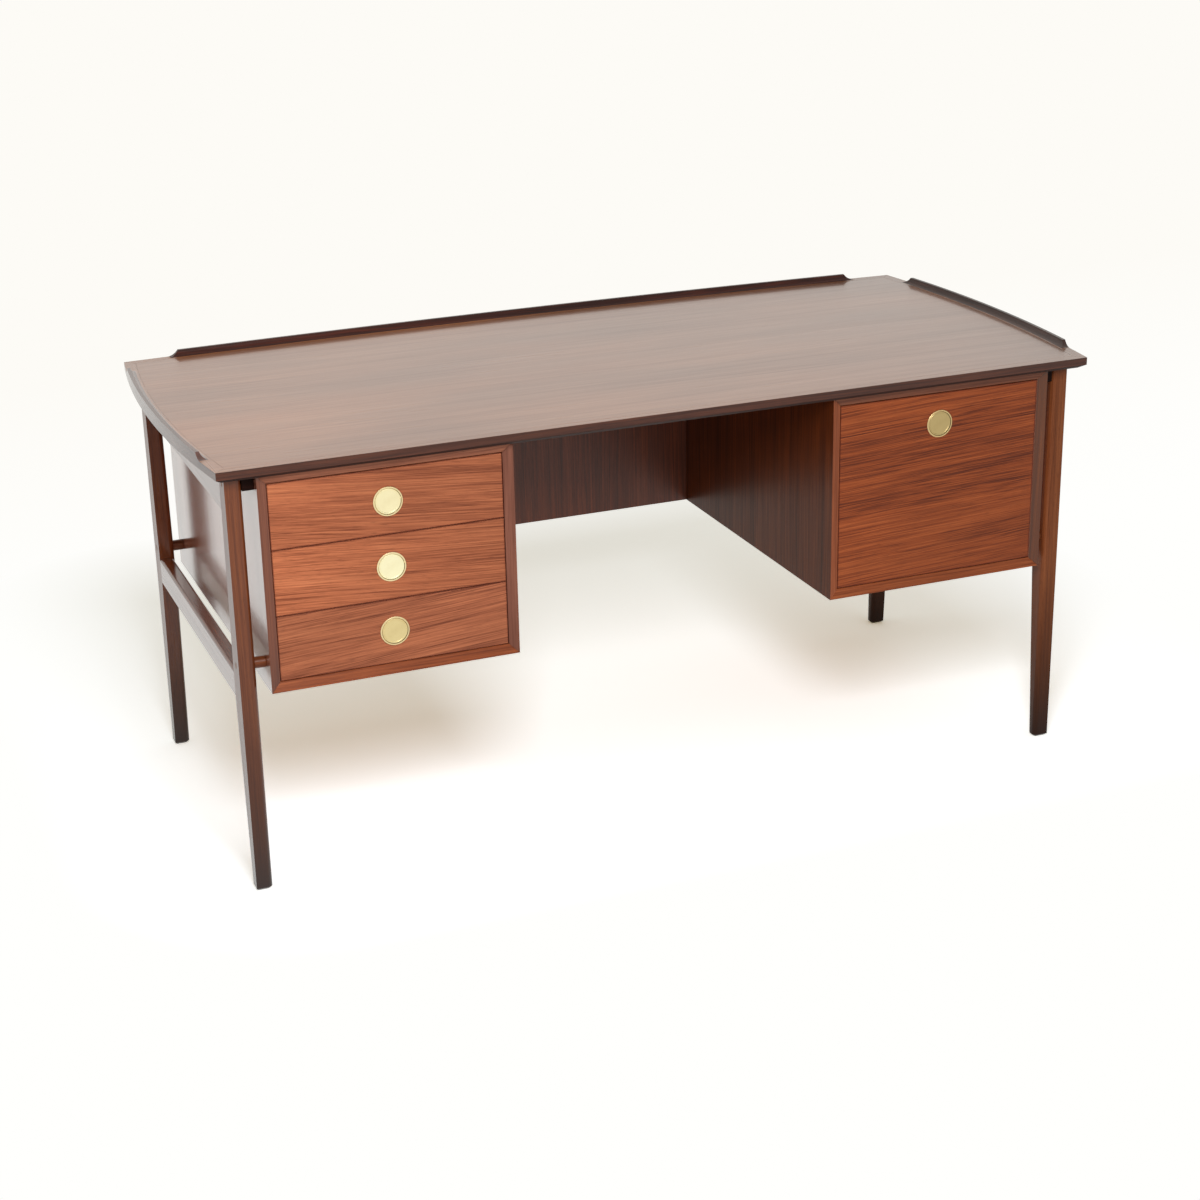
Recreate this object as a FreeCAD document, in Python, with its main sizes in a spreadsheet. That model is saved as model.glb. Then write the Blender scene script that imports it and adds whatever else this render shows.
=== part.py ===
import FreeCAD, Part
import math
import os
import re
import Sketcher

# Executive desk: a lipped, bowed top on two side frames, with two pedestals hung between the frames.
# Millimetres. X runs along the desk, Y from the sitter's side to the back, Z up.
# The origin is on the floor, under the centre of the desk.

SIZES = {
    # Writing top
    "top_length": 1540,         # front edge, corner to corner
    "top_depth": 720,           # front edge to rear corners
    "end_bow": 25,              # how far each end swells out between its corners
    "rear_bow": 22,             # how far the rear edge swells out
    "surface_height": 730,
    "top_thickness": 20,
    "edge_width": 20,           # solid edge pieces round the board
    "edge_face": 13,            # upright face, above the bevel underneath
    "edge_bevel": 12,           # how far that bevel reaches in
    "lip_height": 11,           # lip above the writing surface
    "lip_flat": 6,              # flat on top of the lip
    "lip_ramp": 20,             # length of each ramped lip end
    "side_lip_start": 67,       # corner to the foot of a side lip's ramp
    "rear_lip_start": 78,       # corner to the foot of the rear lip's ramp
    # Side frames
    "frame_inset": 18,          # top's corner to the legs' outer faces
    "leg_setback": 33,          # top's edge to the leg's straight face
    "leg_width": 28,            # along X
    "leg_top_depth": 30,        # along Y, at the top
    "leg_knee_depth": 42,       # along Y, at the underside of the stretcher
    "leg_foot_depth": 22,       # along Y, at the foot
    "leg_round": 9,             # rounding of a leg's inner corners
    "foot_easing": 4,           # taken off round the sole of each foot
    "rail_height": 60,
    "rail_thickness": 22,
    "stretcher_drop": 15,       # pedestal's underside down to the stretcher's
    "stretcher_height": 45,
    "stretcher_thickness": 24,
    "stretcher_easing": 5,
    # Spacers and fixings
    "spacer_length": 19.5,      # leg to pedestal
    "block_height": 26,
    "block_depth": 24,
    "peg_rise": 45,             # pedestal's underside up to the peg
    "peg_radius": 9.5,
    "plug_radius": 5,
    "plug_depth": 6,
    "screw_head_height": 4,
    "screw_radius": 2.5,
    "screw_bite": 10,           # depth into the piece that a screw holds
    "fixing_gap": 0.1,          # play round screws, plugs, dowels and cups
    "top_screw_inset_x": 48,    # pedestal's face to a screw into the top
    "top_screw_inset_y": 64,
    "dowel_radius": 4,
    "dowel_bite": 10,
    "dowel_inset": 64,          # modesty panel's edge to a dowel
    # Carcasses of the pedestals, and the panel between them
    "pedestal_width": 418,
    "pedestal_height": 362,
    "pedestal_setback": 20,     # top's edge to the pedestal, front and back
    "board": 16,
    "front_bevel": 7,           # how far the boards' front edges slope in
    "back_thickness": 8,
    "modesty_thickness": 16,
    "modesty_setback": 50,      # pedestal backs to the panel
    # Drawer boxes and runners
    "front_gap": 1.2,           # round each drawer front
    "front_thickness": 20,
    "box_clearance": 2,         # drawer side to pedestal side
    "side_thickness": 12,
    "box_back_gap": 65,         # drawer's back to the pedestal's back panel
    "box_foot": 8,              # front's lower edge to the drawer sides
    "box_headroom": 14,         # front's upper edge to the drawer sides
    "file_headroom": 60,        # the same on the file drawer
    "bottom_thickness": 6,
    "bottom_rise": 8,           # drawer sides' lower edge to the bottom
    "bottom_tongue": 5,         # depth of the bottom in the drawer sides
    "runner_height": 14,
    "runner_reach": 8,          # how far a runner stands out from the pedestal side
    "runner_drop": 20,          # drawer sides' upper edge to the runner
    "runner_play": 0.3,         # runner to its groove, each face
    "runner_start": 6,          # drawer front's back to the runner's end
    # Tipping pulls
    "disc_radius": 21.3,
    "disc_gap": 0.6,            # disc to the cup's wall
    "cup_wall": 1.6,
    "ring_lap": 1,              # how far the ring covers the drawer front
    "ring_proud": 1.5,
    "ring_easing": 0.6,
    "cup_depth": 15,
    "cup_floor": 1,
    "disc_thickness": 5,
    "disc_sink": 0.3,           # disc's rim below the ring's face
    "disc_rim": 2.2,            # flat rim round the dished face
    "disc_step": 0.6,
    "disc_dish": 1.2,           # depth of the dish at its centre
    "disc_easing": 0.5,
    "pivot_rise": 4,            # pin above the disc's centre
    "pin_radius": 1,
    "pin_play": 0.05,
    "stop_width": 2,            # ledge behind the disc's lower edge
    "stop_drop": 8,             # disc's centre down to the ledge
    "stop_gap": 0.1,
}

# Places worked out from the sizes.
PLACES = {
    "front_y": "-(top_depth + rear_bow) / 2",
    "corner_y": "front_y + top_depth",
    "corner_x": "top_length / 2",
    "underside": "surface_height - top_thickness",
    "lip_top": "surface_height + lip_height",
    "bevel_top": "surface_height - edge_face",
    "mitre_reach": "edge_width * 3",
    "end_radius": "((top_depth / 2) ^ 2 + end_bow ^ 2) / (2 * end_bow)",
    "end_centre_x": "corner_x + end_bow - end_radius",
    "end_centre_y": "front_y + top_depth / 2",
    "rear_radius": "(corner_x ^ 2 + rear_bow ^ 2) / (2 * rear_bow)",
    "rear_centre_y": "corner_y + rear_bow - rear_radius",
    "front_mitre_x": "top_depth / 2 / end_radius - 1",
    "front_mitre_y": "(end_radius - end_bow) / end_radius",
    "rear_mitre_x": "top_depth / 2 / end_radius - (rear_radius - rear_bow) / rear_radius",
    "rear_mitre_y": "corner_x / rear_radius - (end_radius - end_bow) / end_radius",
    "ramp_radius": "(lip_ramp ^ 2 + lip_height ^ 2) / (2 * lip_height)",
    "frame_x": "corner_x - frame_inset",
    "leg_inner_x": "frame_x - leg_width",
    "front_leg_y": "front_y + leg_setback",
    "rear_leg_y": "corner_y - leg_setback",
    "pedestal_bottom": "underside - pedestal_height",
    "stretcher_bottom": "pedestal_bottom - stretcher_drop",
    "stretcher_top": "stretcher_bottom + stretcher_height",
    "rail_bottom": "underside - rail_height",
    "block_bottom": "underside - block_height",
    "peg_z": "pedestal_bottom + peg_rise",
    "pedestal_x": "leg_inner_x - spacer_length",
    "pedestal_inner_x": "pedestal_x - pedestal_width",
    "screw_seat": "frame_x - plug_depth - screw_head_height",
    "screw_reach": "screw_seat - pedestal_x + screw_bite",
    "pedestal_front": "front_y + pedestal_setback",
    "pedestal_back": "corner_y - pedestal_setback",
    "pedestal_depth": "pedestal_back - pedestal_front",
    "opening_bottom": "pedestal_bottom + board",
    "opening_top": "underside - board",
    "opening_height": "opening_top - opening_bottom",
    "modesty_y": "pedestal_back - modesty_setback",
    "back_panel_y": "pedestal_back - back_thickness",
    "face_y": "pedestal_front + front_bevel",
    "box_y": "face_y + front_thickness",
    "box_end": "back_panel_y - box_back_gap",
    "cup_bore": "disc_radius + disc_gap",
    "cup_radius": "cup_bore + cup_wall",
    "ring_radius": "cup_radius + ring_lap",
    "disc_front": "disc_sink - ring_proud",
    "disc_back": "disc_front + disc_thickness",
    "pivot_depth": "(disc_front + disc_back) / 2",
    "dish_radius": "disc_radius - disc_rim - disc_step",
    "dish_fall": "disc_dish - disc_step",
    "stop_outer": "(cup_bore + cup_radius) / 2",
    "stop_inner": "cup_bore - stop_width",
}

doc = FreeCAD.newDocument("executive_desk")
sheet = doc.addObject("Spreadsheet::Sheet", "Dims")
for row, (alias, size) in enumerate(SIZES.items(), start=1):
    sheet.set(f"A{row}", alias)
    sheet.set(f"B{row}", str(size))
    sheet.setAlias(f"B{row}", alias)
doc.recompute()

nodes = []


def dims(text):
    """Spells an expression out in cells of the sheet."""
    def spell(match):
        word = match.group()
        if word in PLACES:
            return "(" + dims(PLACES[word]) + ")"
        return "Dims." + word if word in SIZES else word
    return re.sub(r"[a-z_]+", spell, text)


def value(text):
    return float(sheet.evalExpression(dims(text)))


def node(piece, label):
    """Names a finished sub-part, which is written to its own file."""
    piece.Label = label
    nodes.append(piece)


def place(piece, x, y, z):
    for axis, text in zip("xyz", (x, y, z)):
        piece.setExpression("Placement.Base." + axis, dims(text))


# Boards, round bars and cuts

def box(label, x, y, z):
    """A straight board: each of x, y and z gives its two faces."""
    piece = doc.addObject("Part::Box", label)
    for side, (near, far) in zip(("Length", "Width", "Height"), (x, y, z)):
        piece.setExpression(side, dims(f"({far}) - ({near})"))
    place(piece, x[0], y[0], z[0])
    return piece


def rod(label, axis, start, length, radius):
    """A round bar that leaves its start point along an axis."""
    turns = {
        "x": FreeCAD.Rotation(FreeCAD.Vector(0, 1, 0), 90),
        "y": FreeCAD.Rotation(FreeCAD.Vector(1, 0, 0), -90),
        "z": FreeCAD.Rotation(),
    }
    piece = doc.addObject("Part::Cylinder", label)
    piece.Placement = FreeCAD.Placement(FreeCAD.Vector(), turns[axis])
    piece.setExpression("Radius", dims(radius))
    piece.setExpression("Height", dims(length))
    place(piece, *start)
    return piece


def joined(label, pieces):
    piece = doc.addObject("Part::MultiFuse", label)
    piece.Shapes = pieces
    return piece


def group(label, pieces):
    piece = doc.addObject("Part::Compound", label)
    piece.Links = pieces
    return piece


def cut(label, base, tools):
    piece = doc.addObject("Part::Cut", label)
    piece.Base = base
    piece.Tool = tools[0] if len(tools) == 1 else group(label + "_tools", tools)
    return piece


# Drawn outlines

def sketch(body, label, plane, lift="0"):
    drawing = body.newObject("Sketcher::SketchObject", label)
    support = next(item for item in body.Origin.OriginFeatures if item.Role == plane)
    drawing.AttachmentSupport = (support, [""])
    drawing.MapMode = "FlatFace"
    drawing.setExpression("AttachmentOffset.Base.z", dims(lift))
    return drawing


def tie(drawing, constraint, text):
    """Adds a constraint whose size follows an expression."""
    index = drawing.addConstraint(constraint)
    drawing.setExpression(f"Constraints[{index}]", dims(text))


def tie_point(drawing, edge, end, u, v):
    for kind, text in (("DistanceX", u), ("DistanceY", v)):
        tie(drawing, Sketcher.Constraint(kind, -1, 1, edge, end, value(text)), text)


def arc_between(start, end, radius):
    """The shorter arc from start to end: anticlockwise where the radius is positive."""
    half = (end - start) / 2
    rise = math.sqrt(max(radius ** 2 - half.Length ** 2, 0)) * math.copysign(1, radius)
    centre = start + half + FreeCAD.Vector(-half.y, half.x, 0).normalize() * rise
    circle = Part.Circle(centre, FreeCAD.Vector(0, 0, 1), abs(radius))
    first, last = (start, end) if radius > 0 else (end, start)
    angles = [math.atan2(point.y - centre.y, point.x - centre.x) for point in (first, last)]
    if angles[1] < angles[0]:
        angles[1] += 2 * math.pi
    return Part.ArcOfCircle(circle, *angles)


def outline(drawing, corners):
    """A closed loop. A corner is (u, v), or (u, v, radius) where an arc of that radius leaves it."""
    points = [FreeCAD.Vector(value(corner[0]), value(corner[1]), 0) for corner in corners]
    ends = []
    for index, corner in enumerate(corners):
        start, end = points[index], points[(index + 1) % len(points)]
        if len(corner) == 2:
            edge = drawing.addGeometry(Part.LineSegment(start, end), False)
            ends.append((edge, 1, 2))
            continue
        radius = value(corner[2])
        edge = drawing.addGeometry(arc_between(start, end, radius), False)
        ends.append((edge, 1, 2) if radius > 0 else (edge, 2, 1))
        tie(drawing, Sketcher.Constraint("Radius", edge, abs(radius)), f"abs({corner[2]})")
    for index, (edge, first, last) in enumerate(ends):
        after = ends[(index + 1) % len(ends)]
        drawing.addConstraint(Sketcher.Constraint("Coincident", edge, last, after[0], after[1]))
    for (edge, first, last), corner in zip(ends, corners):
        tie_point(drawing, edge, first, corner[0], corner[1])


def ring(drawing, u, v, radius):
    """A full circle."""
    centre = FreeCAD.Vector(value(u), value(v), 0)
    edge = drawing.addGeometry(Part.Circle(centre, FreeCAD.Vector(0, 0, 1), value(radius)), False)
    tie_point(drawing, edge, 3, u, v)
    tie(drawing, Sketcher.Constraint("Radius", edge, value(radius)), radius)


def upright_axis(drawing, u):
    """A construction line, from the floor to the writing surface, that a profile is turned about."""
    ends = [FreeCAD.Vector(value(u), value(v), 0) for v in ("0", "surface_height")]
    edge = drawing.addGeometry(Part.LineSegment(*ends), True)
    tie_point(drawing, edge, 1, u, "0")
    tie_point(drawing, edge, 2, u, "surface_height")


def mirrored(corners, side):
    """The corners of a loop, turned over left to right where side is -1."""
    if side > 0:
        return corners
    return [(f"-({u})", v, *(f"-({radius})" for radius in bend)) for u, v, *bend in corners]


def pad(body, drawing, length, reverse=False):
    feature = body.newObject("PartDesign::Pad", "Pad")
    feature.Profile = drawing
    feature.setExpression("Length", dims(length))
    feature.Reversed = reverse


def pocket_through(body, drawing):
    feature = body.newObject("PartDesign::Pocket", "Pocket")
    feature.Profile = drawing
    feature.Type = "ThroughAll"
    feature.SideType = "Symmetric"


def revolve(body, drawing, axis, angle="360"):
    feature = body.newObject("PartDesign::Revolution", "Revolution")
    feature.Profile = drawing
    feature.ReferenceAxis = (drawing, [axis])
    feature.setExpression("Angle", dims(angle))
    feature.Midplane = True


# Writing top: a board inside four mitred edges, three of which carry a lip

FRONT_MITRE = ("front_mitre_x", "front_mitre_y")
REAR_MITRE = ("rear_mitre_x", "rear_mitre_y")
COVE_FLATS = 4              # narrow flats that make up the hollow of a lip
QUARTER_TURN = 90


def mitre_cut(drawing, side, corner_y, direction, beyond):
    """A loop that takes off all that lies past the mitre line of one corner."""
    along_x, along_y = direction
    line = []
    for step in ("edge_width * 2", "edge_width * -2"):
        line.append((f"corner_x + {along_x} * {step}", f"{corner_y} + {along_y} * {step}"))
    far = [(f"{u} + {beyond[0]}", f"{v} + {beyond[1]}") for u, v in reversed(line)]
    outline(drawing, mirrored(line + far, side))


def lip_profile(outer):
    """Section of an edge with its lip, from the bevel underneath, up the face and down the cove."""
    cove = []
    for step in range(COVE_FLATS + 1):
        turn = QUARTER_TURN * step / COVE_FLATS
        inward = f"(lip_flat + lip_height * (1 - cos({turn})))"
        cove.append((f"{outer} - {inward}", f"lip_top - lip_height * sin({turn})"))
    return [
        (f"{outer} - edge_bevel", "underside"),
        (outer, "bevel_top"),
        (outer, "lip_top"),
        *cove,
        (f"{outer} - edge_width", "surface_height"),
        (f"{outer} - edge_width", "underside"),
    ]


def ramp_cut(drawing, foot, inward, far):
    """A loop above one end of a lip, whose lower edge is the hollow ramp."""
    head = f"{foot} + {inward} * lip_ramp"
    clear = "lip_top + lip_height"
    outline(drawing, [
        (far, "surface_height"),
        (foot, "surface_height", f"{inward} * ramp_radius"),
        (head, "lip_top"),
        (head, clear),
        (far, clear),
    ])


def end_edge(label, side):
    body = doc.addObject("PartDesign::Body", label)
    profile = sketch(body, label + "_profile", "XZ_Plane", "-(end_centre_y)")
    outline(profile, mirrored(lip_profile("corner_x + end_bow"), side))
    upright_axis(profile, f"{side} * end_centre_x")
    revolve(body, profile, "Axis0", "(top_depth + 2 * mitre_reach) / end_radius * 180 / pi")
    mitres = sketch(body, label + "_mitres", "XY_Plane")
    mitre_cut(mitres, side, "front_y", FRONT_MITRE, ("0", "mitre_reach * -2"))
    mitre_cut(mitres, side, "corner_y", REAR_MITRE, ("0", "mitre_reach * 2"))
    pocket_through(body, mitres)
    ramps = sketch(body, label + "_ramps", "YZ_Plane")
    ramp_cut(ramps, "front_y + side_lip_start", "1", "front_y - mitre_reach")
    ramp_cut(ramps, "corner_y - side_lip_start", "-1", "corner_y + mitre_reach")
    pocket_through(body, ramps)
    node(body, label)


def rear_edge(label):
    body = doc.addObject("PartDesign::Body", label)
    profile = sketch(body, label + "_profile", "YZ_Plane")
    outline(profile, lip_profile("corner_y + rear_bow"))
    upright_axis(profile, "rear_centre_y")
    revolve(body, profile, "Axis0", "(top_length + 2 * mitre_reach) / rear_radius * 180 / pi")
    mitres = sketch(body, label + "_mitres", "XY_Plane")
    for side in (1, -1):
        mitre_cut(mitres, side, "corner_y", REAR_MITRE, ("mitre_reach * 2", "0"))
    pocket_through(body, mitres)
    ramps = sketch(body, label + "_ramps", "XZ_Plane")
    for side in (1, -1):
        foot = f"{side} * (corner_x - rear_lip_start)"
        ramp_cut(ramps, foot, f"{-side}", f"{side} * (corner_x + mitre_reach)")
    pocket_through(body, ramps)
    node(body, label)


def front_edge(label):
    body = doc.addObject("PartDesign::Body", label)
    profile = sketch(body, label + "_profile", "YZ_Plane", "-(corner_x) - mitre_reach")
    outline(profile, [
        ("front_y + edge_bevel", "underside"),
        ("front_y + edge_width", "underside"),
        ("front_y + edge_width", "surface_height"),
        ("front_y", "surface_height"),
        ("front_y", "bevel_top"),
    ])
    pad(body, profile, "top_length + 2 * mitre_reach")
    mitres = sketch(body, label + "_mitres", "XY_Plane")
    for side in (1, -1):
        mitre_cut(mitres, side, "front_y", FRONT_MITRE, ("mitre_reach * 2", "0"))
    pocket_through(body, mitres)
    node(body, label)


def top_board(label, screw_holes):
    """The veneered board: what lies inside all four edge pieces."""
    slab = box(label + "_slab", ("-(corner_x) - end_bow", "corner_x + end_bow"),
               ("front_y + edge_width", "corner_y + rear_bow"), ("underside", "surface_height"))
    rounds = []
    for name, x, y, radius in (
        ("right", "end_centre_x", "end_centre_y", "end_radius"),
        ("left", "-(end_centre_x)", "end_centre_y", "end_radius"),
        ("rear", "0", "rear_centre_y", "rear_radius"),
    ):
        start = (x, y, "underside")
        rounds.append(rod(f"{label}_{name}", "z", start, "top_thickness", f"{radius} - edge_width"))
    blank = doc.addObject("Part::MultiCommon", label + "_blank")
    blank.Shapes = [slab] + rounds
    node(cut(label, blank, screw_holes), label)


# Side frames: knee-shaped legs, an upper rail and a stretcher

LEG_FACES = {"front": ("front_leg_y", 1), "rear": ("rear_leg_y", -1)}


def leg_depth(height):
    """Depth of a leg at a height above its knee."""
    taper = f"(underside - ({height})) / (underside - stretcher_bottom)"
    return f"(leg_top_depth + (leg_knee_depth - leg_top_depth) * {taper})"


def leg_middle(end, height):
    """Y of the middle of a front or rear leg at a height above its knee."""
    straight, inward = LEG_FACES[end]
    return f"{straight} + {inward} * {leg_depth(height)} / 2"


def leg_section(body, label, side, end, height, depth, easing):
    """Level section: square outside, rounded towards the pedestal, and smaller all round by its easing."""
    face, inward = LEG_FACES[end]
    straight = f"{face} + {inward} * {easing}"
    bent = f"{face} + {inward} * ({depth} - {easing})"
    outer = f"frame_x - {easing}"
    inner = f"leg_inner_x + {easing}"
    bend = f"{inward} * (leg_round - {easing})"
    drawing = sketch(body, label, "XY_Plane", height)
    outline(drawing, mirrored([
        (outer, straight),
        (outer, bent),
        ("leg_inner_x + leg_round", bent, bend),
        (inner, f"{face} + {inward} * ({depth} - leg_round)"),
        (inner, f"{face} + {inward} * leg_round", bend),
        ("leg_inner_x + leg_round", straight),
    ], side))
    return drawing


def leg(label, side, end, screw_holes):
    body = doc.addObject("PartDesign::Body", label + "_blank")
    sections = []
    for name, height, depth, easing in (
        ("sole", "0", "leg_foot_depth", "foot_easing"),
        ("foot", "foot_easing", "leg_foot_depth", "0"),
        ("knee", "stretcher_bottom", "leg_knee_depth", "0"),
        ("head", "underside", "leg_top_depth", "0"),
    ):
        sections.append(leg_section(body, f"{label}_{name}", side, end, height, depth, easing))
    loft = body.newObject("PartDesign::AdditiveLoft", "Loft")
    loft.Profile = sections[0]
    loft.Sections = sections[1:]
    loft.Ruled = True
    node(cut(label, body, screw_holes), label)


def cross_piece(label, side, bottom, top, thickness):
    """A rail between two legs, its ends cut to the legs' slope."""
    body = doc.addObject("PartDesign::Body", label)
    start = f"frame_x - {thickness}" if side > 0 else "-(frame_x)"
    profile = sketch(body, label + "_profile", "YZ_Plane", start)
    outline(profile, [
        (f"front_leg_y + {leg_depth(bottom)}", bottom),
        (f"rear_leg_y - {leg_depth(bottom)}", bottom),
        (f"rear_leg_y - {leg_depth(top)}", top),
        (f"front_leg_y + {leg_depth(top)}", top),
    ])
    pad(body, profile, thickness)
    return body


def ease_upper_edges(body, height, radius):
    """Rounds the two long upper edges of a rail."""
    doc.recompute()
    base = body.Tip
    nearly = 0.001
    long_edges = []
    for number, edge in enumerate(base.Shape.Edges, start=1):
        level = all(abs(vertex.Z - value(height)) < nearly for vertex in edge.Vertexes)
        run = edge.Vertexes[-1].Point - edge.Vertexes[0].Point
        if level and abs(run.x) < nearly:
            long_edges.append(f"Edge{number}")
    easing = body.newObject("PartDesign::Fillet", "Easing")
    easing.Base = (base, long_edges)
    easing.setExpression("Radius", dims(radius))


# Fixings through the legs

def inward_rod(label, side, outer, length, y, z, radius):
    """A round bar along X. Its outer end is that far from the middle of the desk, and it runs inward."""
    start = f"{outer} - {length}" if side > 0 else f"-({outer})"
    return rod(label, "x", (start, y, z), length, radius)


def screw_hole(label, side, y, z):
    """The stepped hole from a leg's outer face into the pedestal."""
    wide, slim = "plug_radius + fixing_gap", "screw_radius + fixing_gap"
    return joined(label, [
        inward_rod(label + "_wide", side, "frame_x", "(frame_x - screw_seat)", y, z, wide),
        inward_rod(label + "_slim", side, "screw_seat", "screw_reach", y, z, slim),
    ])


def frame_screw(label, side, y, z):
    return joined(label, [
        inward_rod(label + "_head", side, "frame_x - plug_depth", "screw_head_height", y, z, "plug_radius"),
        inward_rod(label + "_shank", side, "screw_seat", "screw_reach", y, z, "screw_radius"),
    ])


def screw_plug(label, side, y, z):
    return inward_rod(label, side, "frame_x", "plug_depth", y, z, "plug_radius")


# Screws up through a pedestal's top into the writing top

def upright_screw(label, x, y, play):
    """A screw, or the hole for one where there is play round it."""
    seat = "opening_top + screw_head_height"
    shank = "board - screw_head_height + screw_bite"
    return joined(label, [
        rod(label + "_head", "z", (x, y, "opening_top"), "screw_head_height", f"plug_radius + {play}"),
        rod(label + "_shank", "z", (x, y, seat), shank, f"screw_radius + {play}"),
    ])


# Pedestals: mitred boards whose front edges slope in to the drawer fronts

def carcass_board(label, inward, corner, span):
    """A mitred board. Its outer face is the full one, and starts at a front corner of the pedestal."""
    piece = doc.addObject("Part::Wedge", label)
    back = FreeCAD.Vector(0, 1, 0)
    turn = FreeCAD.Rotation(back, inward, back.cross(inward), "XYZ")
    piece.Placement = FreeCAD.Placement(FreeCAD.Vector(), turn)
    place(piece, *corner)
    for name, text in (
        ("Xmin", "0"), ("Xmax", "pedestal_depth"), ("X2min", "front_bevel"), ("X2max", "pedestal_depth"),
        ("Ymin", "0"), ("Ymax", "board"),
        ("Zmin", "0"), ("Zmax", span), ("Z2min", "board"), ("Z2max", f"{span} - board"),
    ):
        piece.setExpression(name, dims(text))
    return piece


def pedestal(hand, left, right, holes):
    """The carcass between its left and right faces. Holes are the cuts in each board, by the board's name."""
    name = f"pedestal_{hand}"
    x_axis = FreeCAD.Vector(1, 0, 0)
    z_axis = FreeCAD.Vector(0, 0, 1)
    width = f"({right}) - ({left})"
    left_part, right_part = ("outer_side", "inner_side") if hand == "left" else ("inner_side", "outer_side")
    for part, inward, corner, span in (
        (left_part, x_axis, (left, "pedestal_front", "underside"), "pedestal_height"),
        (right_part, x_axis * -1, (right, "pedestal_front", "pedestal_bottom"), "pedestal_height"),
        ("top", z_axis * -1, (right, "pedestal_front", "underside"), width),
        ("bottom", z_axis, (left, "pedestal_front", "pedestal_bottom"), width),
    ):
        label = f"{name}_{part}"
        blank = carcass_board(label + "_blank", inward, corner, span)
        node(cut(label, blank, holes[part]) if part in holes else blank, label)
    back = box(f"{name}_back", (f"{left} + board", f"{right} - board"),
               ("back_panel_y", "pedestal_back"), ("opening_bottom", "opening_top"))
    node(back, f"{name}_back")


# Drawers: a front, two grooved sides, a back and a bottom, hung on runners

def runner_levels(top, headroom):
    """Lower and upper face of a drawer's runners."""
    upper = f"{top} - {headroom} - runner_drop"
    return f"{upper} - runner_height", upper


def runner_pair(label, left, right, top, headroom):
    levels = runner_levels(top, headroom)
    length = ("box_y + runner_start", "back_panel_y")
    return [
        box(label + "_left", (left, f"{left} + runner_reach"), length, levels),
        box(label + "_right", (f"{right} - runner_reach", right), length, levels),
    ]


def drawer(name, left, right, bottom, top, headroom, pull_z):
    """A drawer between the pedestal's inner faces, with its front from bottom to top."""
    middle = f"(({left}) + ({right})) / 2"
    panel = box(f"{name}_panel", (f"{left} + front_gap", f"{right} - front_gap"),
                ("face_y", "box_y"), (bottom, top))
    bore = rod(f"{name}_bore", "y", (middle, "face_y", pull_z),
               "cup_depth + fixing_gap", "cup_radius + fixing_gap")
    node(cut(f"{name}_front", panel, [bore]), f"{name}_front")

    outer = (f"{left} + box_clearance", f"{right} - box_clearance")
    inner = (f"{outer[0]} + side_thickness", f"{outer[1]} - side_thickness")
    tongue = (f"{inner[0]} - bottom_tongue", f"{inner[1]} + bottom_tongue")
    groove_depth = "(runner_reach - box_clearance + runner_play)"
    groove = (f"{outer[0]} + {groove_depth}", f"{outer[1]} - {groove_depth}")
    box_z = (f"{bottom} + box_foot", f"{top} - {headroom}")
    sheet_z = (f"{box_z[0]} + bottom_rise", f"{box_z[0]} + bottom_rise + bottom_thickness")
    low, high = runner_levels(top, headroom)
    groove_z = (f"{low} - runner_play", f"{high} + runner_play")
    length = ("box_y", "box_end")
    sides = []
    for hand, blank_x, groove_x, slot_x in (
        ("left", (outer[0], inner[0]), (outer[0], groove[0]), (tongue[0], inner[0])),
        ("right", (inner[1], outer[1]), (groove[1], outer[1]), (inner[1], tongue[1])),
    ):
        blank = box(f"{name}_{hand}_blank", blank_x, length, box_z)
        cuts = [
            box(f"{name}_{hand}_groove", groove_x, length, groove_z),
            box(f"{name}_{hand}_slot", slot_x, length, sheet_z),
        ]
        sides.append(cut(f"{name}_{hand}_side", blank, cuts))
    node(group(f"{name}_sides", sides), f"{name}_sides")
    back = box(f"{name}_back", inner, ("box_end - side_thickness", "box_end"), (sheet_z[1], box_z[1]))
    node(back, f"{name}_back")
    node(box(f"{name}_bottom", tongue, length, sheet_z), f"{name}_bottom")
    tipping_pull(name, middle, pull_z)


# Tipping pulls: a cup let into the drawer front, and a dished disc that tips in it on a pin

DISH_CONES = 4              # narrow cones that make up the dish


def pin_hole(body, label, radius):
    drawing = sketch(body, label, "YZ_Plane")
    ring(drawing, "pivot_depth", "pivot_rise", radius)
    pocket_through(body, drawing)


def pull_cup(name, x, z):
    """A flanged cup with a ledge that stops the disc's lower edge."""
    body = doc.addObject("PartDesign::Body", f"{name}_pull_cup")
    place(body, x, "face_y", z)
    profile = sketch(body, f"{name}_cup_profile", "XY_Plane")
    outline(profile, [
        ("cup_bore", "-(ring_proud)"),
        ("ring_radius - ring_easing", "-(ring_proud)"),
        ("ring_radius", "ring_easing - ring_proud"),
        ("ring_radius", "0"),
        ("cup_radius", "0"),
        ("cup_radius", "cup_depth"),
        ("0", "cup_depth"),
        ("0", "cup_depth - cup_floor"),
        ("cup_bore", "cup_depth - cup_floor"),
    ])
    revolve(body, profile, "V_Axis")
    stop = sketch(body, f"{name}_stop_profile", "XZ_Plane", "-(disc_back) - stop_gap")
    half_outer = "sqrt(stop_outer ^ 2 - stop_drop ^ 2)"
    half_inner = "sqrt(stop_inner ^ 2 - stop_drop ^ 2)"
    outline(stop, [
        (f"-({half_outer})", "-(stop_drop)", "stop_outer"),
        (half_outer, "-(stop_drop)"),
        (half_inner, "-(stop_drop)", "-(stop_inner)"),
        (f"-({half_inner})", "-(stop_drop)"),
    ])
    pad(body, stop, "cup_depth - cup_floor / 2 - disc_back - stop_gap", reverse=True)
    pin_hole(body, f"{name}_cup_pin_hole", "pin_radius")
    node(body, f"{name}_pull_cup")


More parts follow.
